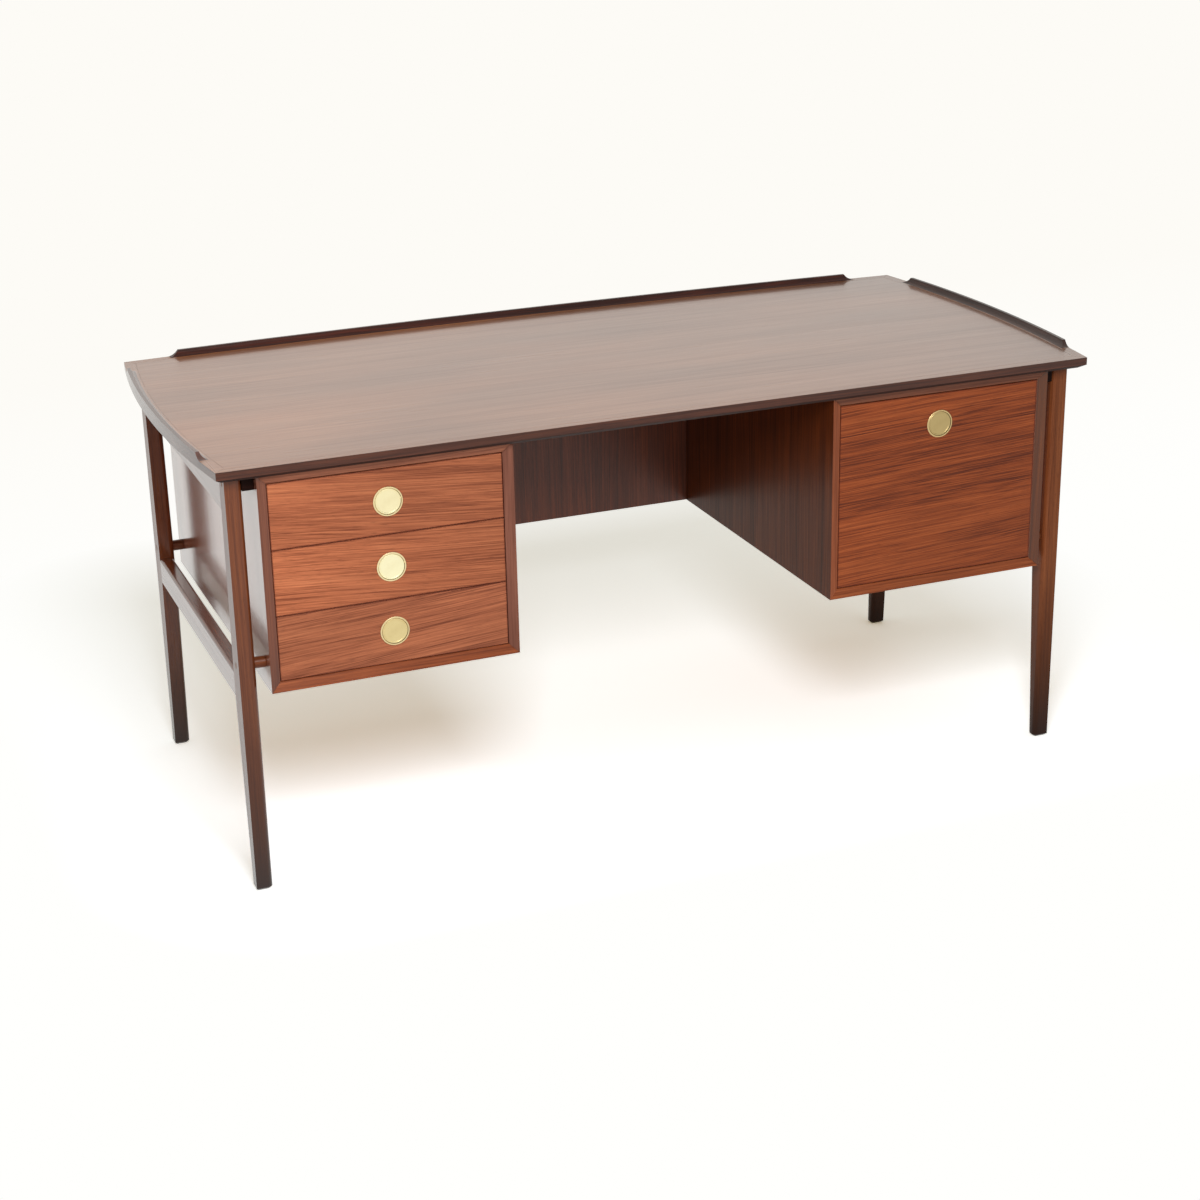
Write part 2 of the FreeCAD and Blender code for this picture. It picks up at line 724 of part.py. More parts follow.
def pull_disc(name, x, z):
    """A disc with a flat rim and a shallow dish, turned in narrow cones."""
    body = doc.addObject("PartDesign::Body", f"{name}_pull_disc")
    place(body, x, "face_y", z)
    profile = sketch(body, f"{name}_disc_profile", "XY_Plane")
    dish = []
    for step in range(DISH_CONES + 1):
        share = step / DISH_CONES
        dish.append((f"dish_radius * {share}", f"disc_front + disc_dish - dish_fall * {share} ^ 2"))
    outline(profile, [
        ("0", "disc_back"),
        *dish,
        ("disc_radius - disc_rim", "disc_front"),
        ("disc_radius - disc_easing", "disc_front"),
        ("disc_radius", "disc_front + disc_easing"),
        ("disc_radius", "disc_back"),
    ])
    revolve(body, profile, "V_Axis")
    pin_hole(body, f"{name}_disc_pin_hole", "pin_radius + pin_play")
    node(body, f"{name}_pull_disc")


def tipping_pull(name, x, z):
    pull_cup(name, x, z)
    pull_disc(name, x, z)
    half = "(sqrt(cup_radius ^ 2 - pivot_rise ^ 2) - fixing_gap)"
    start = (f"{x} - {half}", "face_y + pivot_depth", f"{z} + pivot_rise")
    node(rod(f"{name}_pull_pin", "x", start, f"2 * {half}", "pin_radius"), f"{name}_pull_pin")


# The whole desk

HANDS = {"left": -1, "right": 1}
DRAWER_ROWS = ("drawer_top", "drawer_middle", "drawer_bottom")
PEDESTAL_FACES = {
    "left": ("-(pedestal_x)", "-(pedestal_inner_x)"),
    "right": ("pedestal_inner_x", "pedestal_x"),
}

front_edge("top_edge_front")
rear_edge("top_edge_rear")

blocks, pegs, screws, plugs = [], [], [], []
side_holes = {"left": [], "right": []}
for hand, side in HANDS.items():
    end_edge(f"top_edge_{hand}", side)
    gap_x = ("pedestal_x", "leg_inner_x") if side > 0 else ("-(leg_inner_x)", "-(pedestal_x)")
    for end in LEG_FACES:
        spot = f"{end}_{hand}"
        block_z = "underside - block_height / 2"
        block_y = leg_middle(end, block_z)
        peg_y = leg_middle(end, "peg_z")
        holes = {}
        for level, y, z in (("upper", block_y, block_z), ("lower", peg_y, "peg_z")):
            holes[level] = screw_hole(f"{spot}_{level}_hole", side, y, z)
            screws.append(frame_screw(f"{spot}_{level}_screw", side, y, z))
            plugs.append(screw_plug(f"{spot}_{level}_plug", side, y, z))
            side_holes[hand].append(holes[level])
        block_span = (f"{block_y} - block_depth / 2", f"{block_y} + block_depth / 2")
        block = box(f"{spot}_block_blank", gap_x, block_span, ("block_bottom", "underside"))
        peg = rod(f"{spot}_peg_blank", "x", (gap_x[0], peg_y, "peg_z"), "spacer_length", "peg_radius")
        blocks.append(cut(f"{spot}_block", block, [holes["upper"]]))
        pegs.append(cut(f"{spot}_peg", peg, [holes["lower"]]))
        leg(f"leg_{spot}", side, end, list(holes.values()))
    rail = cross_piece(f"upper_rail_{hand}", side, "rail_bottom", "underside", "rail_thickness")
    node(rail, f"upper_rail_{hand}")
    stretcher = cross_piece(f"stretcher_{hand}", side,
                            "stretcher_bottom", "stretcher_top", "stretcher_thickness")
    ease_upper_edges(stretcher, "stretcher_top", "stretcher_easing")
    node(stretcher, f"stretcher_{hand}")
node(group("spacer_blocks", blocks), "spacer_blocks")
node(group("spacer_pegs", pegs), "spacer_pegs")
node(group("frame_screws", screws), "frame_screws")
node(group("screw_plugs", plugs), "screw_plugs")

top_screws, top_holes = [], {"left": [], "right": []}
for hand, (left, right) in PEDESTAL_FACES.items():
    for x in (f"{left} + top_screw_inset_x", f"{right} - top_screw_inset_x"):
        for y in ("pedestal_front + top_screw_inset_y", "pedestal_back - top_screw_inset_y"):
            label = f"top_screw_{len(top_screws)}"
            top_screws.append(upright_screw(label, x, y, "0"))
            top_holes[hand].append(upright_screw(label + "_hole", x, y, "fixing_gap"))
node(group("top_screws", top_screws), "top_screws")
top_board("top_panel", top_holes["left"] + top_holes["right"])

dowels, dowel_holes = [], {"left": [], "right": []}
for hand, side in HANDS.items():
    for level, z in (("low", "pedestal_bottom + dowel_inset"), ("high", "underside - dowel_inset")):
        label = f"dowel_{hand}_{level}"
        start = (f"{side} * pedestal_inner_x - dowel_bite", "modesty_y - modesty_thickness / 2", z)
        hole_radius = "dowel_radius + fixing_gap"
        dowels.append(rod(label, "x", start, "2 * dowel_bite", "dowel_radius"))
        dowel_holes[hand].append(rod(label + "_hole", "x", start, "2 * dowel_bite", hole_radius))
node(group("modesty_dowels", dowels), "modesty_dowels")
panel = box("modesty_blank", ("-(pedestal_inner_x)", "pedestal_inner_x"),
            ("modesty_y - modesty_thickness", "modesty_y"), ("pedestal_bottom", "underside"))
node(cut("modesty_panel", panel, dowel_holes["left"] + dowel_holes["right"]), "modesty_panel")

row_height = f"(opening_height - {len(DRAWER_ROWS) + 1} * front_gap) / {len(DRAWER_ROWS)}"
first_top = "opening_top - front_gap"
runners = {"left": [], "right": []}
for hand, (left, right) in PEDESTAL_FACES.items():
    cuts = {"outer_side": side_holes[hand], "inner_side": dowel_holes[hand], "top": top_holes[hand]}
    pedestal(hand, left, right, cuts)
    inside = (f"{left} + board", f"{right} - board")
    if hand == "left":
        for index, name in enumerate(DRAWER_ROWS):
            top = f"{first_top} - {index} * ({row_height} + front_gap)"
            pull_z = f"{top} - {row_height} / 2"
            drawer(name, *inside, f"{top} - {row_height}", top, "box_headroom", pull_z)
            runners[hand] += runner_pair(f"{name}_runner", *inside, top, "box_headroom")
    else:
        pull_z = f"{first_top} - {row_height} / 2"
        drawer("file_drawer", *inside, "opening_bottom + front_gap", first_top, "file_headroom", pull_z)
        runners[hand] += runner_pair("file_runner", *inside, first_top, "file_headroom")
    node(group(f"runners_{hand}", runners[hand]), f"runners_{hand}")

doc.recompute()

# Every object has to be sound before anything is written.
for item in doc.Objects:
    if {"Invalid", "Error"} & set(item.State):
        raise RuntimeError(f"{item.Label} is not sound: {item.State}")
for piece in nodes:
    if piece.Shape.isNull() or not piece.Shape.isValid() or not piece.Shape.Solids:
        raise RuntimeError(f"{piece.Label} has no sound shape")

os.makedirs("parts", exist_ok=True)
for piece in nodes:
    piece.Shape.exportStep(f"parts/{piece.Label}.step")
print(len(nodes), "nodes,", sum(len(piece.Shape.Solids) for piece in nodes), "solids")
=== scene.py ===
# %% [markdown]
# A rosewood executive desk: a bowed top with raised lips, carried by two side frames, and two
# pedestals of drawers that hang between the frames. The solids come ready made, each in its place,
# so this lesson only has to dress them: edges, veneers, metal, light and a camera.

# %% Load the desk
import math

import bmesh
import bpy
from mathutils import Matrix, Vector


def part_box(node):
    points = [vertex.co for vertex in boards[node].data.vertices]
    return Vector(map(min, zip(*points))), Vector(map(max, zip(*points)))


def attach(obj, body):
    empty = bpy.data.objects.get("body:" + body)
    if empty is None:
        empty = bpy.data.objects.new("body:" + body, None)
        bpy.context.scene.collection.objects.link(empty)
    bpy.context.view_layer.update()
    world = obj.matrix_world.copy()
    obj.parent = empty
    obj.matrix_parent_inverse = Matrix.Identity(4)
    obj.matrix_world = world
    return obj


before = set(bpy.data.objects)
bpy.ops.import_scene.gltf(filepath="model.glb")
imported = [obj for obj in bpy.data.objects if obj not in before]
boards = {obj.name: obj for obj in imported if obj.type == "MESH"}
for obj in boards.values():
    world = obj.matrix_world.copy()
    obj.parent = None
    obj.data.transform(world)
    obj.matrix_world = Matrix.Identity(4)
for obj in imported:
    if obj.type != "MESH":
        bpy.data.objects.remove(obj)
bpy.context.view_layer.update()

# %% [markdown]
# The camera stands a little left of the desk, well above the top, and looks down on it. Its place and
# turns were worked out from the corners of the desk, so the edges meet the frame at the same slopes.
# A matrix built from three turns is easier to check than a target and a tracking constraint: first the
# heading, then the downward tilt, then a hint of roll.

# %% Camera
CAMERA_PLACE = Vector((-1.4314, -3.6165, 1.7589))
HEADING = 0.3758
TILT = -0.3649
ROLL = -0.0208
LENS = 67.95
SENSOR = 36.0

lens = bpy.data.cameras.new("camera")
lens.lens = LENS
lens.sensor_width = SENSOR
camera = bpy.data.objects.new("camera", lens)
bpy.context.collection.objects.link(camera)
camera.matrix_world = (
    Matrix.Translation(CAMERA_PLACE)
    @ Matrix.Rotation(-HEADING, 4, "Z")
    @ Matrix.Rotation(math.pi / 2 + TILT, 4, "X")
    @ Matrix.Rotation(ROLL, 4, "Z")
)
bpy.context.scene.camera = camera
bpy.context.scene.view_settings.view_transform = "Standard"
print("camera is", round(CAMERA_PLACE.length, 2), "m from the middle of the floor")

# %% [markdown]
# Shaders here are all built from nodes. One helper adds a node and fills its sockets: a value that is
# another node's socket is linked, and anything else is simply set. Colours are written as they look on
# a screen, from 0 to 255, and turned into the linear light that shaders work in: by a straight line for
# the darkest tones, and by a curve above them.

# %% Node helpers
SCREEN_WHITE = 255
SCREEN_GREY = 128
DARK_END = 0.04045
DARK_SLOPE = 12.92
CURVE_SHIFT = 0.055
CURVE_POWER = 2.4


def put(tree, kind, inputs=None, **settings):
    """Adds one shader node, sets its options and fills its inputs."""
    made = tree.nodes.new("ShaderNode" + kind)
    for name, setting in settings.items():
        setattr(made, name, setting)
    for name, value in (inputs or {}).items():
        if isinstance(value, bpy.types.NodeSocket):
            tree.links.new(value, made.inputs[name])
        else:
            made.inputs[name].default_value = value
    return made


def work_out(tree, operation, first, second=0.0, clamp=False):
    """One step of arithmetic on numbers."""
    return put(tree, "Math", {0: first, 1: second}, operation=operation, use_clamp=clamp).outputs[0]


def work_out_place(tree, operation, first, second=(0.0, 0.0, 0.0)):
    """One step of arithmetic on places."""
    return put(tree, "VectorMath", {0: first, 1: second}, operation=operation).outputs[0]


def mix_numbers(tree, share, below, above):
    """A weighted mean of two numbers."""
    return put(tree, "Mix", {0: share, 2: below, 3: above}).outputs[0]


def mix_tints(tree, share, below, above, blend="MIX"):
    """Lays one tint over another."""
    mixed = put(tree, "Mix", {0: share, 6: below, 7: above}, data_type="RGBA", blend_type=blend)
    return mixed.outputs[2]


def spread(tree, value, low, high, start=0.0, end=1.0):
    """Moves a number from the span low to high onto the span start to end."""
    return put(tree, "MapRange", {"Value": value, 1: low, 2: high, 3: start, 4: end}).outputs[0]


def shade(red, green, blue):
    """A screen colour as linear light."""
    def linear(level):
        part = level / SCREEN_WHITE
        if part <= DARK_END:
            return part / DARK_SLOPE
        return ((part + CURVE_SHIFT) / (1 + CURVE_SHIFT)) ** CURVE_POWER
    return (linear(red), linear(green), linear(blue), 1.0)


def new_material(name):
    """An empty material, its node tree and its output."""
    material = bpy.data.materials.new(name)
    material.use_nodes = True
    material.node_tree.nodes.clear()
    return material, material.node_tree, put(material.node_tree, "OutputMaterial")


print("mid grey is", round(shade(SCREEN_GREY, SCREEN_GREY, SCREEN_GREY)[0], 3), "in linear light")

# %% [markdown]
# The studio is a white sweep. The floor is one large plane. Under and behind the desk it takes the
# shadow, lifted by a warm glow as if by paper; farther out it turns into plain white paper. That holds
# for the camera and for mirrored rays. For all other light it is matt white, so it adds no light.

# %% Floor
PAPER = shade(255, 255, 253)
BACK_PAPER = shade(253, 251, 246)
BACK_START = 0.8
BACK_END = 3.0
WARM_GLOW = (0.255, 0.205, 0.10, 1.0)
COOL_SHADE = (1.8, 1.95, 2.15, 1.0)
MATT_WHITE = (0.85, 0.84, 0.82, 1.0)
FLOOR_SIZE = 60.0
SHADOW_MIDDLE = (0.15, 0.45, 0.0)
SHADOW_HALF = (0.75, 0.60, 0.0)
SHADOW_FADE = 0.45


def seen_directly(tree):
    """1 for rays from the camera and for mirrored or transmitted ones, 0 for soft light."""
    path = put(tree, "LightPath").outputs
    mirrored = work_out(tree, "MAXIMUM", path["Is Glossy Ray"], path["Is Transmission Ray"])
    return work_out(tree, "MAXIMUM", path["Is Camera Ray"], mirrored)


paper, tree, output = new_material("studio_paper")
spot = put(tree, "TexCoord").outputs["Object"]
from_middle = work_out_place(tree, "ABSOLUTE", work_out_place(tree, "SUBTRACT", spot, SHADOW_MIDDLE))
beyond = work_out_place(tree, "MAXIMUM", work_out_place(tree, "SUBTRACT", from_middle, SHADOW_HALF))
away = put(tree, "VectorMath", {0: beyond}, operation="LENGTH").outputs["Value"]
glow = put(tree, "Emission", {"Color": WARM_GLOW}).outputs[0]
shaded = put(tree, "BsdfDiffuse", {"Color": COOL_SHADE}).outputs[0]
matt = put(tree, "BsdfDiffuse", {"Color": MATT_WHITE}).outputs[0]
near_paper = put(tree, "AddShader", {0: glow, 1: shaded}).outputs[0]
depth = put(tree, "SeparateXYZ", {0: spot}).outputs[1]
far_tint = mix_tints(tree, spread(tree, depth, BACK_START, BACK_END), PAPER, BACK_PAPER)
far_paper = put(tree, "Emission", {"Color": far_tint}).outputs[0]
far_share = spread(tree, away, 0.0, SHADOW_FADE)
bright = put(tree, "MixShader", {0: far_share, 1: near_paper, 2: far_paper}).outputs[0]
paper_surface = put(tree, "MixShader", {0: seen_directly(tree), 1: matt, 2: bright}).outputs[0]
tree.links.new(paper_surface, output.inputs[0])

bpy.ops.mesh.primitive_plane_add(size=FLOOR_SIZE)
floor = bpy.context.object
floor.name = "floor"
floor.data.materials.append(paper)
print("floor is", FLOOR_SIZE, "m across")

# %% [markdown]
# Light comes from two places. The room is a dim white dome, tinted like the paper below it so that no
# horizon shows, and one soft lamp stands in front of the desk, left of its middle, a little over head
# height. So each pedestal throws its shadow back and to the right, and the top shades the knee space.
# The levels are plain ones: a matt card held at the left drawers renders about as bright as its own
# colour.

# %% Light
DOME_LEVEL = 0.30
DOME_SEEN = 1.0
DOME_TURN = 0.1
LAMP_PLACE = Vector((-0.75, -2.34, 2.04))
LAMP_AIM = Vector((-0.05, 0.0, 0.45))
LAMP_SIZE = 0.8
LAMP_POWER = 44.0

world = bpy.data.worlds.new("studio")
world.use_nodes = True
bpy.context.scene.world = world
tree = world.node_tree
tree.nodes.clear()
level = mix_numbers(tree, seen_directly(tree), DOME_LEVEL, DOME_SEEN)
outlook = put(tree, "TexCoord").outputs["Generated"]
backward = put(tree, "SeparateXYZ", {0: outlook}).outputs[1]
dome_tint = mix_tints(tree, spread(tree, backward, 0.0, DOME_TURN), PAPER, BACK_PAPER)
dome = put(tree, "Background", {"Color": dome_tint, "Strength": level}).outputs[0]
put(tree, "OutputWorld", {0: dome})

lamp = bpy.data.lights.new("soft_lamp", "AREA")
lamp.shape = "SQUARE"
lamp.size = LAMP_SIZE
lamp.energy = LAMP_POWER
soft_lamp = bpy.data.objects.new("soft_lamp", lamp)
bpy.context.collection.objects.link(soft_lamp)
soft_lamp.location = LAMP_PLACE
soft_lamp.rotation_mode = "QUATERNION"
soft_lamp.rotation_quaternion = (LAMP_AIM - LAMP_PLACE).to_track_quat("-Z", "Y")
soft_lamp.visible_camera = False
print("lamp is", round((LAMP_AIM - LAMP_PLACE).length, 2), "m from the desk")

# %% [markdown]
# Wood grain is noise drawn out along the board. An image of a veneer would be quicker, but it repeats
# and breaks at the edges; noise in solid space runs round every edge like real timber. Scaling the
# coordinates draws the noise out, and adding a little slow noise to them makes the grain wander.

# %% Drawn-out grain
ALONG_X, ALONG_Y, ALONG_Z = range(3)
SWAYS = {"along": 1.6, "across": 9.0, "detail": 1.0}


def drawn_noise(tree, place, grain, along, across, detail, output="Fac"):
    """Noise drawn out along the grain. along and across are its turns in a metre."""
    stretch = [across] * 3
    stretch[grain] = along
    drawn = work_out_place(tree, "MULTIPLY", place, stretch)
    return put(tree, "TexNoise", {"Vector": drawn, "Scale": 1.0, "Detail": detail}).outputs[output]


def swaying_place(tree, grain, sway, tilt):
    """Coordinates in the solid whose grain wanders by sway metres, and leans by tilt."""
    place = put(tree, "TexCoord").outputs["Object"]
    leaning = put(tree, "Mapping", {"Vector": place, "Rotation": tilt}).outputs[0]
    drift = drawn_noise(tree, leaning, grain, **SWAYS, output="Color")
    return work_out_place(tree, "ADD", leaning, work_out_place(tree, "MULTIPLY", drift, [sway] * 3))


print("grain wanders", SWAYS["along"], "times in a metre")

# %% [markdown]
# Rosewood is told by its figure: broad bands, long wavy streaks, thin dark veins, finer fibres between
# them and short dark pores. All are the same noise at other scales. A vein lies where its noise passes
# through the middle of its span, which draws thin unbroken lines. Slow clouds make a board lighter here
# and darker there. A painted falloff of light can make one end of a board lighter than the other, as if
# the lamp were nearer that end.

# %% Figure of the wood
BANDS = {"along": 1.2, "across": 34.0, "detail": 2.0}
FIBRES = {"along": 14.0, "across": 800.0, "detail": 2.0}
OPEN_PORES = {"along": 55.0, "across": 1500.0, "detail": 1.0}
VEINS = {"along": 2.0, "across": 100.0, "detail": 3.0}
CLOUDS = {"along": 1.5, "across": 4.0, "detail": 2.0}
NOISE_MIDDLE = 0.5
NOISE_SPAN = (0.3, 0.7)
STREAK_DETAIL = 4.0
FIBRE_SHARE = 0.25
TONE_SPAN = 0.15
VEIN_WIDTH = 0.05
PORE_START = 0.60
PORE_SLOPE = 9.0
PORE_DARKNESS = 0.35
MM_IN_A_METRE = 1000


def three_tones(tree, share, stops):
    """A ramp through three colours, each given with its place on the ramp."""
    ramp = put(tree, "ValToRGB", {0: share})
    ends = ramp.color_ramp.elements
    for element, (spot, colour) in zip((ends[0], ends[1]), (stops[0], stops[2])):
        element.position = spot
        element.color = colour
    middle = ends.new(stops[1][0])
    middle.color = stops[1][1]
    return ramp.outputs[0]


def darkened(colour, share):
    """A linear colour with only a share of its light."""
    return [part * share for part in colour[:3]] + [1.0]


def faded(tree, light, fade):
    """Painted light: a lightness that drifts along the desk as the lamp's light falls off.
    The last argument gives two places on X and the light at each.
    """
    start, end, start_share, end_share = fade
    place = put(tree, "TexCoord").outputs["Object"]
    along = put(tree, "SeparateXYZ", {0: place}).outputs[0]
    return work_out(tree, "MULTIPLY", light, spread(tree, along, start, end, start_share, end_share))


def figured(tree, grain, tones, contrast=1.0, sway=0.02, tilt=(0.0, 0.0, 0.0), pores=0.35, streaks=4.0,
            fineness=280.0, bands=0.38, veins=0.3, clouds=0.12, fade=None):
    """Colour, tone and relief of bare wood, from its deep, middle and pale tones."""
    deep, middle, pale = tones
    place = swaying_place(tree, grain, sway, tilt)
    band = drawn_noise(tree, place, grain, **BANDS)
    streak = drawn_noise(tree, place, grain, streaks, fineness, STREAK_DETAIL)
    fibre = drawn_noise(tree, place, grain, **FIBRES)
    tone = mix_numbers(tree, FIBRE_SHARE, mix_numbers(tree, bands, streak, band), fibre)
    half = TONE_SPAN / contrast
    stops = [(NOISE_MIDDLE - half, deep), (NOISE_MIDDLE, middle), (NOISE_MIDDLE + half, pale)]
    colour = three_tones(tree, tone, stops)
    from_line = work_out(tree, "SUBTRACT", drawn_noise(tree, place, grain, **VEINS), NOISE_MIDDLE)
    from_line = work_out(tree, "ABSOLUTE", from_line)
    vein_share = spread(tree, from_line, 0.0, VEIN_WIDTH, veins, 0.0)
    colour = mix_tints(tree, vein_share, colour, deep)
    cloud = drawn_noise(tree, place, grain, **CLOUDS)
    light = spread(tree, cloud, *NOISE_SPAN, 1.0 - clouds, 1.0 + clouds)
    if fade:
        light = faded(tree, light, fade)
    lightness = put(tree, "CombineXYZ", {0: light, 1: light, 2: light}).outputs[0]
    colour = mix_tints(tree, 1.0, colour, lightness, blend="MULTIPLY")
    pore = drawn_noise(tree, place, grain, **OPEN_PORES)
    beyond = work_out(tree, "SUBTRACT", pore, PORE_START)
    open_pore = work_out(tree, "MULTIPLY", beyond, PORE_SLOPE, clamp=True)
    pore_share = work_out(tree, "MULTIPLY", open_pore, pores)
    colour = mix_tints(tree, pore_share, colour, darkened(deep, PORE_DARKNESS))
    return colour, tone, work_out(tree, "SUBTRACT", fibre, open_pore)


print("broad bands lie about", round(MM_IN_A_METRE / BANDS["across"]), "mm apart")

# %% [markdown]
# A finish changes over a board. Edges rub pale, or take a dark line: an outline round the screw plugs,
# and painted shade along the drawer fronts, which widens the shadow in their gaps. A bevel node finds the
# edges by comparing a rounded normal with the true one. Faces are told apart by where they look and how
# high they lie, so one solid can show two veneers without being cut.

# %% Edges and faces
EDGE_REACH = 0.0015
EDGE_SLOPE = 2.5
EDGE_SAMPLES = 4
LEVEL_PLAY = 0.0004
LEVEL_FACE = 0.9
DOWN_FACE = -0.3
FORWARD_FACE = -0.5


def edge_band(tree, reach, slope=EDGE_SLOPE):
    """Near 1 along the edges of a piece, where hands and cloths rub the finish, and where the drawer
    fronts take a dark line of painted shade.
    """
    rounded = put(tree, "Bevel", {"Radius": reach}, samples=EDGE_SAMPLES).outputs[0]
    flat = put(tree, "NewGeometry").outputs["Normal"]
    likeness = put(tree, "VectorMath", {0: rounded, 1: flat}, operation="DOT_PRODUCT").outputs["Value"]
    return work_out(tree, "MULTIPLY", work_out(tree, "SUBTRACT", 1.0, likeness), slope, clamp=True)


def writing_level(tree):
    """1 on faces that lie level with the writing surface, 0 elsewhere."""
    geometry = put(tree, "NewGeometry").outputs
    height = put(tree, "SeparateXYZ", {0: geometry["Position"]}).outputs[2]
    upright = put(tree, "SeparateXYZ", {0: geometry["Normal"]}).outputs[2]
    low_enough = work_out(tree, "LESS_THAN", height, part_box("top_panel")[1][2] + LEVEL_PLAY)
    return work_out(tree, "MULTIPLY", low_enough, work_out(tree, "GREATER_THAN", upright, LEVEL_FACE))


def looks_down(tree):
    """1 on faces that look down at the floor, which a polisher leaves raw and which take painted shade, 0
    elsewhere.
    """
    normal = put(tree, "NewGeometry").outputs["Normal"]
    upright = put(tree, "SeparateXYZ", {0: normal}).outputs[2]
    return work_out(tree, "LESS_THAN", upright, DOWN_FACE)


def front_bevel(tree):
    """1 on the sloping front edge of a pedestal board, 0 elsewhere."""
    normal = put(tree, "NewGeometry").outputs["Normal"]
    forward = put(tree, "SeparateXYZ", {0: normal}).outputs[1]
    return work_out(tree, "LESS_THAN", forward, FORWARD_FACE)


print("edges are rubbed for", EDGE_REACH * MM_IN_A_METRE, "mm")

# %% [markdown]
# A finished board puts these together: figure, rubbed edges and dark edge lines, feet that darken near
# the floor, and a second veneer laid over the first where two boards share one sheet. The dark edge line
# of a drawer front is painted shade, and so is the darker colour of a raw face that looks down. The polish
# is part of the same shader: its dullness follows the figure, and fibres and pores give it relief.

# %% Finished boards
FOOT_FADE = 0.36
FOOT_LEVEL = 0.10
RAW_ROUGHNESS = 0.8
# Painted shade: the share of light left in the colour of faces that look down.
UNDERSIDE_PAINTED_SHADE = 0.35
DULLNESS_TONES = (0.35, 0.65)
DULLNESS_SPAN = (0.05, -0.03)
RELIEF = {"Strength": 0.10, "Distance": 0.0003}
COAT_ROUGHNESS = 0.12


def timber(name, grain, tones, roughness=0.32, coat=0.0, specular=0.3, edge_mark=0.2, edge=None, lap=None,
           reach=EDGE_REACH, slope=EDGE_SLOPE, dark_foot=False, raw_and_shaded_below=False, **figure):
    """A finished board. Its edges rub to the pale tone, or to the edge tone where that is given; on the
    drawer fronts that is a dark line of painted shade. Faces that look down can be darkened as painted
    shade. A lap is where another veneer lies over it, with that veneer's coat and figure."""
    material, tree, output = new_material(name)
    colour, tone, relief = figured(tree, grain, tones, **figure)
    edge_share = work_out(tree, "MULTIPLY", edge_band(tree, reach, slope), edge_mark)
    colour = mix_tints(tree, edge_share, colour, edge or tones[2])
    if dark_foot:
        place = put(tree, "TexCoord").outputs["Object"]
        height = put(tree, "SeparateXYZ", {0: place}).outputs[2]
        share = spread(tree, height, 0.0, FOOT_FADE, 1.0, 0.0)
        colour = mix_tints(tree, share, colour, darkened(tones[1], FOOT_LEVEL))
    if lap:
        where, lap_coat, lap_figure = lap
        lapped = where(tree)
        over = figured(tree, **lap_figure)[0]
        colour = mix_tints(tree, lapped, colour, over)
        coat = mix_numbers(tree, lapped, coat, lap_coat)
    dull, polished = (roughness + step for step in DULLNESS_SPAN)
    dullness = spread(tree, tone, *DULLNESS_TONES, dull, polished)
    if raw_and_shaded_below:
        below = looks_down(tree)
        dullness = mix_numbers(tree, below, dullness, RAW_ROUGHNESS)
        coat = mix_numbers(tree, below, coat, 0.0)
        colour = mix_tints(tree, below, colour, darkened(tones[1], UNDERSIDE_PAINTED_SHADE))
    bump = put(tree, "Bump", {**RELIEF, "Height": relief}).outputs[0]
    surface = put(tree, "BsdfPrincipled", {
        "Base Color": colour,
        "Roughness": dullness,
        "Normal": bump,
        "Specular IOR Level": specular,
        "Coat Weight": coat,
        "Coat Roughness": COAT_ROUGHNESS,
    })
    tree.links.new(surface.outputs[0], output.inputs[0])
    return material


print("feet darken over the lowest", FOOT_FADE, "m")

# %% [markdown]
# The writing top is polished until it mirrors the room, so it carries a clear coat. Its edges are cut
# from darker solid wood, but where they lie level with the top, one sheet of veneer runs over both. That
# sheet is lighter at the left end, which is painted light: the falloff from the lamp at the left.
# Underneath, the edges are left raw, and there their colour is also darkened as painted shade.

# %% Writing top
TOP_TONES = (shade(134, 79, 49), shade(161, 104, 68), shade(178, 118, 78))
TOP_COAT = 0.65
TOP_POLISH = {"roughness": 0.30, "coat": TOP_COAT, "specular": 0.5, "edge_mark": 0.0}
# Painted light: the top's lightness at its left and right ends, as the lamp's light falls off.
TOP_PAINTED_FALLOFF = (-0.75, 0.75, 1.16, 0.80)
LAP_FIGURE = {"contrast": 0.7, "pores": 0.15, "streaks": 2.4, "veins": 0.14, "clouds": 0.28}
EDGE_TONES = {
    "front": (shade(46, 23, 15), shade(80, 42, 28), shade(102, 57, 40)),
    "rear": (shade(30, 11, 6), shade(62, 25, 15), shade(92, 40, 24)),
    "left": (shade(52, 24, 15), shade(88, 45, 30), shade(114, 64, 44)),
    "right": (shade(34, 18, 12), shade(62, 35, 26), shade(86, 52, 40)),
}
EDGE_POLISH = {
    "front": {"grain": ALONG_X, "coat": 0.1, "specular": 0.3},
    "rear": {"grain": ALONG_X, "coat": 0.0, "specular": 0.2},
    "left": {"grain": ALONG_Y, "coat": 0.6, "specular": 0.5},
    "right": {"grain": ALONG_Y, "coat": 0.05, "specular": 0.25},
}
EDGE_ROUGHNESS = 0.28

top_figure = {"grain": ALONG_X, "tones": TOP_TONES, "fade": TOP_PAINTED_FALLOFF, **LAP_FIGURE}
top_veneer = timber("top_rosewood", **TOP_POLISH, **top_figure)
top_lap = (writing_level, TOP_COAT, top_figure)
edge_wood = {}
for word, polish in EDGE_POLISH.items():
    edge_wood[word] = timber(f"edge_rosewood_{word}", tones=EDGE_TONES[word], lap=top_lap, raw_and_shaded_below=True,
                             roughness=EDGE_ROUGHNESS, **polish)
print("one veneer and", len(edge_wood), "edge woods for the top")
